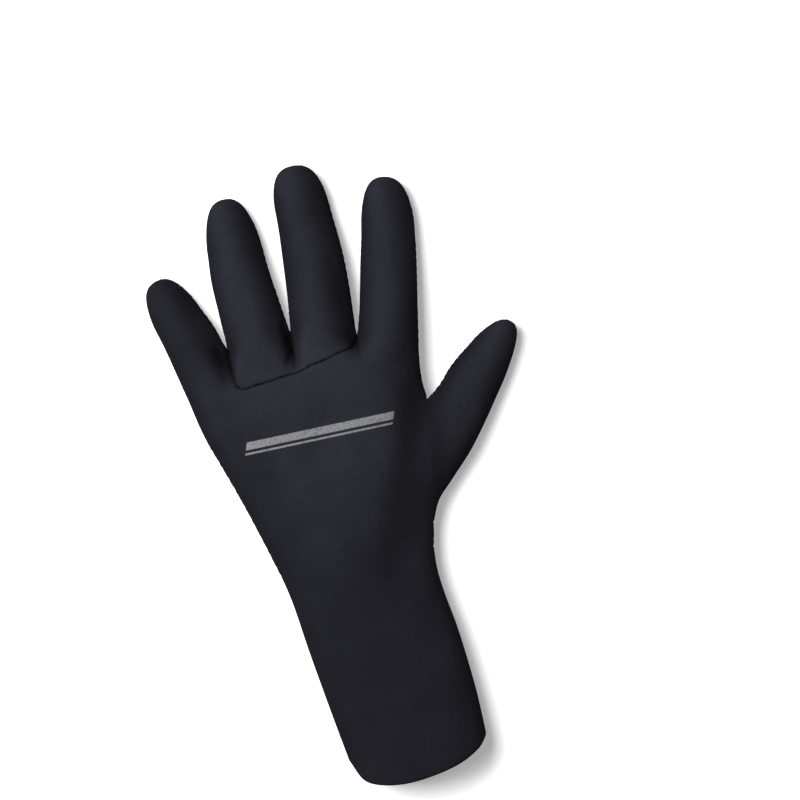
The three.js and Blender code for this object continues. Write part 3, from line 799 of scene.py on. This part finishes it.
# %% Helpers for shader nodes
class Nodes:
    """Adds nodes to one tree. A call links the sockets or sets the values that it is given,
    and returns the new node's output."""

    def __init__(self, tree):
        self.tree = tree

    def feed(self, socket, value):
        if isinstance(value, bpy.types.NodeSocket):
            self.tree.links.new(value, socket)
        else:
            socket.default_value = value

    def add(self, kind, inputs=None, output=0, **settings):
        node = self.tree.nodes.new("ShaderNode" + kind)
        for name, value in settings.items():
            setattr(node, name, value)
        for socket, value in (inputs or {}).items():
            self.feed(node.inputs[socket], value)
        return node.outputs[output]

    def math(self, operation, *values):
        return self.add("Math", dict(enumerate(values)), operation=operation)

    def times(self, *values):
        return self.math("MULTIPLY", *values)

    def scaled(self, color, gain):
        return self.add("VectorMath", {0: color, "Scale": gain}, operation="SCALE")

    def parts(self, vector):
        return self.add("SeparateXYZ", {"Vector": vector}).node.outputs

    def ramp(self, value, low, high, to_low=0.0, to_high=1.0):
        inputs = {"Value": value, "From Min": low, "From Max": high, "To Min": to_low, "To Max": to_high}
        return self.add("MapRange", inputs, interpolation_type="SMOOTHSTEP")

    def between(self, value, low, high, soft):
        rise = self.ramp(value, low - soft, low + soft)
        return self.times(rise, self.ramp(value, high - soft, high + soft, 1.0, 0.0))

    def blend(self, factor, a, b):
        return self.add("Mix", {0: factor, 6: a, 7: b}, 2, data_type="RGBA")

    def noise(self, vector, scale, detail):
        return self.add("TexNoise", {"Vector": vector, "Scale": scale, "Detail": detail})

    def attribute(self, name):
        return self.add("Attribute", attribute_name=name, output="Fac")

    def bump(self, height, distance, **normal):
        return self.add("Bump", {"Height": height, "Distance": distance, "Strength": 1.0, **normal})

    def group(self, tree, **inputs):
        node = self.tree.nodes.new("ShaderNodeGroup")
        node.node_tree = tree
        for socket, value in inputs.items():
            self.feed(node.inputs[socket], value)
        return node.outputs


def shader_group(name, inputs, outputs):
    """A new node group with named sockets, and what is needed to fill it. An input's kind
    follows from its value: a place has none, a colour four numbers, the others one."""
    kinds = {type(None): "Vector", tuple: "Color", float: "Float"}
    tree = bpy.data.node_groups.new(name, "ShaderNodeTree")
    for label, value in inputs.items():
        kind = "NodeSocket" + kinds[type(value)]
        socket = tree.interface.new_socket(label, in_out="INPUT", socket_type=kind)
        if value is not None:
            socket.default_value = value
    for label, kind in outputs.items():
        tree.interface.new_socket(label, in_out="OUTPUT", socket_type="NodeSocket" + kind)
    start, end = tree.nodes.new("NodeGroupInput"), tree.nodes.new("NodeGroupOutput")
    return tree, Nodes(tree), start.outputs, end.inputs


# %% The knit, as a group
def knit_group():
    """Across one wale, bend is 0 in the middle and 1 at its sides. A course's thread runs
    where the cosine of v plus half of bend is high, which draws a V, and the wale is a low
    rib, one minus bend squared."""
    inputs = {"UV": None, "Wale": 0.0008, "Course": 0.0007}
    tree, n, given, out = shader_group("knit_jersey", inputs, {"Height": "Float"})
    place = n.parts(given["UV"])
    wale = n.math("FRACT", n.math("DIVIDE", place["X"], given["Wale"]))
    bend = n.math("ABSOLUTE", n.math("MULTIPLY_ADD", wale, 2.0, -1.0))
    row = n.math("ADD", n.math("DIVIDE", place["Y"], given["Course"]), n.times(bend, 0.5))
    thread = n.math("MULTIPLY_ADD", n.math("COSINE", n.times(row, 2 * np.pi)), 0.5, 0.5)
    rib = n.math("SUBTRACT", 1.0, n.math("POWER", bend, 2.0))
    n.feed(out["Height"], n.times(rib, n.math("MULTIPLY_ADD", thread, 0.6, 0.4)))
    return tree


# %% Uneven tone, as a group
GRAINS = [  # scale, detail and share of the clouds, the pilling and the single fibres
    (28.0, 3.0, 0.5),
    (420.0, 2.0, 0.3),
    (2100.0, 1.0, 0.2),
]


def tone_group():
    """A colour made lighter and darker by three sizes of noise: soft clouds, pilling, and
    single fibres that catch the light."""
    inputs = {"Place": None, "Color": (0.03, 0.03, 0.035, 1), "Amount": 0.2}
    tree, n, given, out = shader_group("uneven_tone", inputs, {"Color": "Color", "Grain": "Float"})
    grain = 0.0
    for scale, detail, share in GRAINS:
        grain = n.math("MULTIPLY_ADD", n.noise(given["Place"], scale, detail), share, grain)
    centred = n.math("SUBTRACT", grain, 0.5)
    gain = n.math("MULTIPLY_ADD", n.times(centred, given["Amount"]), 4.0, 1.0)
    n.feed(out["Color"], n.scaled(given["Color"], gain))
    n.feed(out["Grain"], grain)
    return tree


# %% The stitched line, as a group
def stitch_group():
    """How much a seam's dark line covers the surface: full within Width of the seam, and
    broken up along it by noise, as blind stitches are."""
    inputs = {"Place": None, "Distance": 1.0, "Width": 0.4, "Broken": 0.5}
    tree, n, given, out = shader_group("stitched_line", inputs, {"Cover": "Float"})
    patches = n.ramp(n.noise(given["Place"], 330.0, 1.0), 0.38, 0.62)
    kept = n.math("SUBTRACT", 1.0, n.times(given["Broken"], patches))
    near = n.ramp(given["Distance"], given["Width"], n.times(given["Width"], 2.6), 1.0, 0.0)
    n.feed(out["Cover"], n.times(near, kept))
    return tree


KNIT, TONE, STITCHED = knit_group(), tone_group(), stitch_group()
print("groups:", KNIT.name, TONE.name, STITCHED.name)


# %% Start of every material
def new_material(name, steady):
    """A material with one Principled BSDF, whose steady values are set on its own sockets, and
    what is needed to fill it."""
    material = bpy.data.materials.new(name)
    material.use_nodes = True
    n = Nodes(material.node_tree)
    sockets = material.node_tree.nodes["Principled BSDF"].inputs
    for label, value in steady.items():
        sockets[label].default_value = value
    return material, n, sockets, n.add("TexCoord", output="Object")


# %% Jersey, outside and lining
JERSEY_COLOR = (0.0130, 0.0129, 0.0174, 1)
LINING_COLOR = (0.022, 0.022, 0.026, 1)
# the dark thread of the seams, also the colour of the painted shade in the creases
THREAD_AND_FOLD_SHADE_COLOR = (0.0040, 0.0040, 0.0050, 1)
WALE, COURSE = 0.00066, 0.00056
STITCHED_LINES = [  # distance on the mesh, half width in mm, how broken, and strength of each line
    ("seam_distance", 0.16, 0.5, 0.7),
    ("knuckle_distance", 0.34, 0.45, 0.95),
]


def jersey_material(name, color, stitched, mark=None):
    """Knitted nylon on foam rubber: matt, with a soft sheen at grazing angles, and paler where
    the mesh marks it as lit, which is partly worn jersey and partly painted light and shade.
    Where stitched is true, the seams carry a dark broken line and the creases get painted
    shade. mark adds a printed mark over it all."""
    material, n, sockets, place = new_material(name, {
        "Specular IOR Level": 0.0, "Sheen Weight": 0.008, "Sheen Roughness": 0.45,
        "Sheen Tint": (0.8, 0.82, 0.95, 1),
    })
    knit = n.group(KNIT, UV=n.add("UVMap", uv_map="surface"), Wale=WALE, Course=COURSE)["Height"]
    tone = n.group(TONE, Place=place, Color=color, Amount=0.30)
    # painted light and shade, partly worn jersey: the colour is scaled from 0.64 up to 1.24
    wear_and_light_gain = n.math("MULTIPLY_ADD", n.attribute("wear_and_painted_light"), 0.60, 0.64)
    cloth = n.scaled(tone["Color"], n.times(n.ramp(knit, 0.0, 0.9, 0.82, 1.06), wear_and_light_gain))
    if stitched:
        # painted shade in the creases, in the thread's dark colour
        cover = n.ramp(n.attribute("painted_fold_shade"), 0.0, 0.8, 0.0, 0.9)
        for label, width, broken, strength in STITCHED_LINES:
            distance = n.attribute(label)
            seam = n.group(STITCHED, Place=place, Distance=distance, Width=width, Broken=broken)
            cover = n.math("MAXIMUM", cover, n.times(seam["Cover"], strength))
        cloth = n.blend(cover, cloth, THREAD_AND_FOLD_SHADE_COLOR)
    if mark is not None:
        cloth = mark(n, place, cloth)
    n.feed(sockets["Base Color"], cloth)
    n.feed(sockets["Roughness"], n.ramp(tone["Grain"], 0.3, 0.7, 0.82, 0.94))
    n.feed(sockets["Normal"], n.bump(tone["Grain"], 0.0005, Normal=n.bump(knit, 0.00007)))
    return material


# %% [markdown]
# A plain printed mark sits across the back of the hand: one bar and a thin line under it,
# in pale grey ink that sinks into the knit. It is worked out from Object coordinates,
# counted from the mark's left end.

# %% The printed mark
MARK_LEFT, MARK_LENGTH = np.array([-52.5, 165.4, 0.0]), 75.0
MARK_BARS = [  # lower and upper side of each bar, above the mark's base line
    (2.4, 6.2),
    (0.0, 1.0),
]
MARK_SLANT = 0.35
INK_COLOR, INK_SOFT = (0.150, 0.150, 0.160, 1), 0.12  # and how softly its edge ends


def printed_mark(n, place, cloth):
    """Covers the cloth with ink where the slanted place along the base line is between its
    ends and the height above it is inside a bar, less where the ink is worn."""
    start = to_frame(MARK_LEFT)
    local = n.parts(n.add("Mapping", {"Vector": place, "Location": start}, vector_type="TEXTURE"))
    slanted = n.math("SUBTRACT", local["X"], n.times(local["Y"], MARK_SLANT))
    bars = [n.between(local["Y"], low * MM, high * MM, INK_SOFT * MM) for low, high in MARK_BARS]
    inside = n.between(slanted, 0.0, MARK_LENGTH * MM, INK_SOFT * MM)
    worn = n.ramp(n.noise(place, 900.0, 3.0), 0.3, 0.55, 0.55, 1.0)
    return n.blend(n.times(n.times(n.math("MAXIMUM", *bars), inside), worn), cloth, INK_COLOR)


print("mark:", MARK_LENGTH, "mm long, bars", [round(high - low, 1) for low, high in MARK_BARS], "mm high")


# %% Cut foam rubber
# the pits of the foam are darkened as painted shade
FOAM_COLOR, PORE_SHADE_COLOR = (0.020, 0.020, 0.022, 1), (0.006, 0.006, 0.007, 1)


def foam_material():
    """The cut edge: black foam full of small closed bubbles, whose pits get painted shade."""
    material, n, sockets, place = new_material("cut_foam", {"Roughness": 0.95, "Specular IOR Level": 0.2})
    pores = n.add("TexVoronoi", {"Vector": place, "Scale": 2300.0}, "Distance")
    pit = n.ramp(pores, 0.15, 0.5)
    tone = n.group(TONE, Place=place, Color=FOAM_COLOR, Amount=0.3)
    n.feed(sockets["Base Color"], n.blend(pit, PORE_SHADE_COLOR, tone["Color"]))
    n.feed(sockets["Normal"], n.bump(pit, 0.0002))
    return material


# %% Grip rubber
# the ground between the studs is partly painted shade, the worn tops partly a painted highlight
GROUND_AND_SHADE_COLOR, WORN_AND_HIGHLIGHT_COLOR = (0.0016, 0.0016, 0.0020, 1), (0.026, 0.026, 0.029, 1)


def rubber_material():
    """Matt moulded rubber. The tops of the studs, where stud_top is 1, are lighter and smoother
    than the ground between them: partly worn, partly a painted highlight. The ground stays
    deep black, partly as painted shade between the studs."""
    material, n, sockets, place = new_material("studded_rubber", {"Specular IOR Level": 0.03})
    tone = n.group(TONE, Place=place, Color=GROUND_AND_SHADE_COLOR, Amount=0.3)
    # worn stud tops, with a painted highlight
    wear_and_highlight = n.times(n.attribute("stud_top"), n.ramp(n.noise(place, 60.0, 3.0), 0.35, 0.65, 0.55, 1.0))
    n.feed(sockets["Base Color"], n.blend(wear_and_highlight, tone["Color"], WORN_AND_HIGHLIGHT_COLOR))
    n.feed(sockets["Roughness"], n.ramp(wear_and_highlight, 0.0, 1.0, 0.72, 0.5))
    n.feed(sockets["Normal"], n.bump(tone["Grain"], 0.00025))
    return material


jersey = jersey_material("jersey", JERSEY_COLOR, stitched=True)
marked_jersey = jersey_material("jersey_with_mark", JERSEY_COLOR, stitched=True, mark=printed_mark)
lining = jersey_material("lining_jersey", LINING_COLOR, stitched=False)
foam, rubber = foam_material(), rubber_material()
print("finishes:", ", ".join(m.name for m in (jersey, marked_jersey, lining, foam, rubber)))

# %% [markdown]
# ## The five panels
#
# Each panel gets its thickness. Its outer face is the skin with the seam dips, its inner
# face is the plain skin moved in by the wall, and quads join them round the cut edge. Each
# face of the wall has its own finish.

# %% Pull back, thicken and close one panel
def pull_back(edges):
    """At each edge point, the direction into the panel: outward crossed with the edge. Where
    two edges meet at a corner the move is longer, so that both keep their gap."""
    along = unit(skin[edges[:, 1]] - skin[edges[:, 0]])
    pull = sum(summed(edges[:, end], unit(np.cross(outward[edges[:, end]], along))) for end in (0, 1))
    length = np.linalg.norm(pull, axis=1)
    cornering = np.maximum(length / 2, 0.5)
    return unit(pull) * (SEAM_GAP / 2 / cornering)[:, None]


SURFACE = {  # what the materials read off the skin, painted light and shade among them
    "seam_distance": seam_distance, "knuckle_distance": knuckle_distance, "wear_and_painted_light": wear_and_painted_light, "painted_fold_shade": painted_fold_shade,
}


def build_panel(k, outer, inner):
    """One closed panel, from the cells that belong to it, and the area of its outer face."""
    mine = face_panels == k
    quads, uvs, edges = faces[mine], face_uvs[mine], panel_edges[k]
    used = np.unique(quads)
    count = len(used)
    pull = pull_back(edges)
    outside, inside = dressed + pull, skin - outward * WALL + pull
    inside[:, 2] = np.maximum(inside[:, 2], LEAST_INSIDE)
    q, e = np.searchsorted(used, quads), np.searchsorted(used, edges)
    rim = np.stack([e[:, 0], e[:, 0] + count, e[:, 1] + count, e[:, 1]], axis=1)
    rim_uv = np.zeros((len(e), 4, 2))
    rim_uv[:, 2:, 0] = np.linalg.norm(skin[edges[:, 1]] - skin[edges[:, 0]], axis=1)[:, None]
    rim_uv[:, 1:3, 1] = WALL
    faces_and_rim = np.concatenate([q, q[:, ::-1] + count, rim])
    made = new_object(
        PANELS[k] + "_dressed", to_frame(np.concatenate([outside[used], inside[used]])), faces_and_rim,
        [outer, inner, foam], np.concatenate([uvs, uvs[:, ::-1], rim_uv]) * MM,
        np.repeat([0, 1, 2], [len(q), len(q), len(rim)]),
        {label: np.tile(values[used], 2) for label, values in SURFACE.items()},
    )
    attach(made, "root")
    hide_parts(PANELS[k])
    area = np.linalg.norm(cell_normals(dressed, quads), axis=1).sum() / 2
    span = np.ptp(uvs.reshape(-1, 2), axis=0)
    print(f"{made.name}: {len(faces_and_rim)} faces, {area / 100:.0f} cm2, over", np.round(span), "mm")
    return made, area


outer_finishes = [marked_jersey, jersey, rubber, rubber, jersey]
panels = {PANELS[k]: build_panel(k, outer, lining) for k, outer in enumerate(outer_finishes)}

# %% [markdown]
# ## The studs of the grip
#
# The palm and the inner side of the thumb are moulded with small long studs, in columns
# that are shifted by half a stud from one to the next. There are thousands, so one stud is
# described once and placed with whole arrays. Each stands on the skin and follows its slope.

# %% One stud
STUD_LONG, STUD_WIDE = 1.55, 0.55  # half of its length and width at the foot
STUD_RINGS = [  # height above the skin, and share of the foot's size
    (-0.25, 1.0),
    (0.6 * STUD_HEIGHT, 0.84),
    (STUD_HEIGHT, 0.5),
]
STUD_SIDES = 6


def stud_template():
    """Rings of six points on an ellipse, joined by quads, closed at both ends by two quads."""
    angle = 2 * np.pi * np.arange(STUD_SIDES) / STUD_SIDES
    ring = np.column_stack([STUD_LONG * np.cos(angle), STUD_WIDE * np.sin(angle)])
    rings = [np.column_stack([ring * share, np.full(STUD_SIDES, height)]) for height, share in STUD_RINGS]
    i = np.arange(STUD_SIDES * (len(STUD_RINGS) - 1)).reshape(-1, STUD_SIDES)
    j = np.roll(i, -1, axis=1)
    sides = np.stack([i, j, j + STUD_SIDES, i + STUD_SIDES], axis=-1).reshape(-1, 4)
    top = i.size + np.array([[0, 1, 2, 3], [0, 3, 4, 5]])
    return np.concatenate(rings), np.concatenate([sides, [[3, 2, 1, 0], [5, 4, 3, 0]], top])


print("one stud:", len(stud_template()[1]), "quads,", 2 * STUD_LONG, "by", 2 * STUD_WIDE, "mm at its foot")


# %% Where the studs go on a block
COLUMN_PITCH, STUD_PITCH = 1.8, 4.0
SEAM_MARGIN = 1.5  # no stud stands nearer to a seam
FULL_HEIGHT_AT = 4.5  # and none is full height nearer than this
STUD_CLEAR = 1.7  # where the pattern is squeezed, studs nearer than this to another are left out
STUD_AHEAD = 6.0  # a stud points along the pattern from so far behind it to so far ahead


def at_lengths(values, across, along, want):
    """Values of a grid at wanted lengths over the skin. The row is found from the lengths
    along, the column from each row's own lengths across, and both are blended."""
    row = np.interp(want[:, 1], along, np.arange(len(along)))
    low = np.minimum(row.astype(int), len(along) - 2)
    found = []
    for r in (low, low + 1):
        column = (across[r] < want[:, :1]).sum(1).clip(1, across.shape[1] - 1)
        a, b = across[r, column - 1], across[r, column]
        t = np.clip((want[:, 0] - a) / np.maximum(b - a, 1e-9), 0, 1)[:, None]
        found.append(mix(values[r, column - 1], values[r, column], t))
    return mix(*found, (row - low)[:, None])


def stud_places(number, first_row=0, last_column=None, turned=False):
    """Centres, outward normals, long directions and height shares of the studs on one block.
    The lattice has columns one pitch apart, every other one shifted by half a stud's pitch.
    Places too near a seam are left out, and the next ones are lower. Where turned is true,
    the columns run across the block."""
    n, lengths = (grids[number][first_row:, :last_column] for grids in (palm_numbers, palm_lengths))
    values = np.concatenate([dressed[n], dressed_normal[n], seam_distance[n][..., None]], axis=2)
    across, along = lengths[..., 0], lengths[:, 0, 1]
    pitch = np.array([STUD_PITCH, COLUMN_PITCH] if turned else [COLUMN_PITCH, STUD_PITCH])
    first, last = np.floor([across.min(), along[0]] / pitch), [across.max(), along[-1]] / pitch + 1
    c, r = np.meshgrid(np.arange(first[0], last[0]), np.arange(first[1], last[1]))
    lattice = np.stack([c + turned * (r % 2) / 2, r + (not turned) * (c % 2) / 2], axis=-1)
    want = lattice.reshape(-1, 2) * pitch
    left, right = (np.interp(want[:, 1], along, across[:, side]) for side in (0, -1))
    x, y = want.T
    want = want[(x > left) & (x < right) & (y > along[0]) & (y < along[-1])]
    step = STUD_AHEAD * np.array([turned, not turned])
    here, ahead, behind = (at_lengths(values, across, along, want + k * step) for k in (0, 1, -1))
    kept = here[:, 6] > SEAM_MARGIN
    height = smoothstep(here[:, 6] / FULL_HEIGHT_AT)[:, None]
    return here[kept, :3], here[kept, 3:6], (ahead - behind)[kept, :3], height[kept]


def build_studs(name, places):
    """One joined mesh with a stud at every place, in frames of long side, short side and
    outward normal. Of two that stand too near each other, the first one stays."""
    centre, normal, forward, height = (np.concatenate(values) for values in zip(*places))
    kept = np.ones(len(centre), bool)
    for k in range(len(centre)):
        if kept[k]:
            kept[k + 1:] &= ((centre[k + 1:] - centre[k]) ** 2).sum(1) > STUD_CLEAR**2
    centre, normal, forward, height = centre[kept], unit(normal[kept]), forward[kept], height[kept]
    forward = unit(forward - normal * (forward * normal).sum(1)[:, None])
    axes = np.stack([forward, np.cross(normal, forward), normal * height], axis=1)
    points, quads = stud_template()
    placed = centre[:, None] + np.einsum("pk,nkx->npx", points, axes)
    polygons = quads[None] + (np.arange(len(centre)) * len(points))[:, None, None]
    top = np.tile(np.clip(points[:, 2] / STUD_HEIGHT, 0, 1), len(centre))
    made = new_object(name, to_frame(placed.reshape(-1, 3)), polygons.reshape(-1, 4), [rubber],
                      attributes={"stud_top": top})
    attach(made, "root")
    print(f"{name}: {len(centre)} studs")
    return made


palm_studs = build_studs("palm_studs", [
    stud_places(0, first_row=WRIST_AT),
    *[stud_places(f) for f in (1, 2, 3, 4)],
])
thumb_studs = build_studs("thumb_studs", [
    stud_places(5, last_column=THUMB_INNER + 1, turned=True),
])

# %% [markdown]
# ## Cloth facts
#
# The panels are sheets of foam rubber with jersey on both faces. build_panel works out
# the area of each one's outer face.

# %% [markdown]
# ## Floor, light and camera
#
# The photograph looks straight down on the glove, turned by about twelve degrees. A soft
# light stands at its upper left, so the right-hand sides of the fingers fall into shade.
# The floor is a white table lit from below, as catalogues use it, which keeps the glove's
# shadow faint.

# %% Floor
HALF_FLOOR, FLOOR_AT = 3.0, -0.0002
FLOOR_COLOR = (0.80, 0.80, 0.80, 1)


def studio_floor():
    """A large plain square just below the glove, with the faintest mottling."""
    square = np.array([(-1, -1, 0), (1, -1, 0), (1, 1, 0), (-1, 1, 0)]) * HALF_FLOOR + [0, 0, FLOOR_AT]
    material, n, sockets, place = new_material("pale_floor", {
        "Roughness": 0.9, "Specular IOR Level": 0.2,
        "Emission Color": (1, 1, 1, 1), "Emission Strength": 0.35,
    })
    tone = n.group(TONE, Place=place, Color=FLOOR_COLOR, Amount=0.01)
    n.feed(sockets["Base Color"], tone["Color"])
    new_object("studio_floor", square, np.array([[0, 1, 2, 3]]), [material])


studio_floor()
print("floor:", 2 * HALF_FLOOR, "m wide")

# %% The picture's own directions on the table
TURN = np.radians(12.1)
PICTURE_RIGHT = Vector((np.cos(TURN), -np.sin(TURN), 0))
PICTURE_UP = Vector((np.sin(TURN), np.cos(TURN), 0))
PICTURE_CENTRE = Vector((0.0249, 0.0301, 0))
PICTURE_WIDTH = 0.400  # metres across the picture at the height of the glove's middle
GLOVE_MIDDLE = Vector((0, 0, 0.020))
print(f"picture: {PICTURE_WIDTH} m wide, turned by {np.degrees(TURN):.1f} degrees")


def facing(place, target):
    """The matrix of a lamp or camera at a place that looks at a target."""
    backwards = (place - target).normalized()
    right = PICTURE_UP.cross(backwards).normalized()
    turned = Matrix([right, backwards.cross(right), backwards]).transposed()
    return Matrix.Translation(place) @ turned.to_4x4()


# %% Camera
CAMERA_HEIGHT, SENSOR = 2.0, 36.0
looked_at = PICTURE_CENTRE + GLOVE_MIDDLE
camera = linked("camera", bpy.data.cameras.new("camera"))
camera.data.sensor_width = SENSOR
camera.data.lens = SENSOR * CAMERA_HEIGHT / PICTURE_WIDTH
camera.matrix_world = facing(looked_at + Vector((0, 0, CAMERA_HEIGHT)), looked_at)
bpy.context.scene.camera = camera
print("lens:", round(camera.data.lens, 1), "mm")


# %% Lights
def soft_lamp(name, rightwards, upwards, height, size, power):
    """A square area lamp, placed in the picture's own directions, that looks at the glove."""
    lamp = linked(name, bpy.data.lights.new(name, "AREA"))
    lamp.data.size = size
    lamp.data.energy = power
    place = PICTURE_CENTRE + PICTURE_RIGHT * rightwards + PICTURE_UP * upwards + Vector((0, 0, height))
    lamp.matrix_world = facing(place, PICTURE_CENTRE)
    print(f"{name}: {power} W, {size} m wide")


soft_lamp("key_lamp", -0.50, 0.20, 1.20, size=0.7, power=32.0)
soft_lamp("side_lamp", -1.40, 0.60, 0.70, size=0.7, power=8.5)
world = bpy.data.worlds.new("studio")
world.use_nodes = True
sky = world.node_tree.nodes["Background"].inputs
sky["Color"].default_value = (0.96, 0.98, 1.0, 1)
sky["Strength"].default_value = 0.05
bpy.context.scene.world = world
bpy.context.scene.view_settings.view_transform = "Standard"
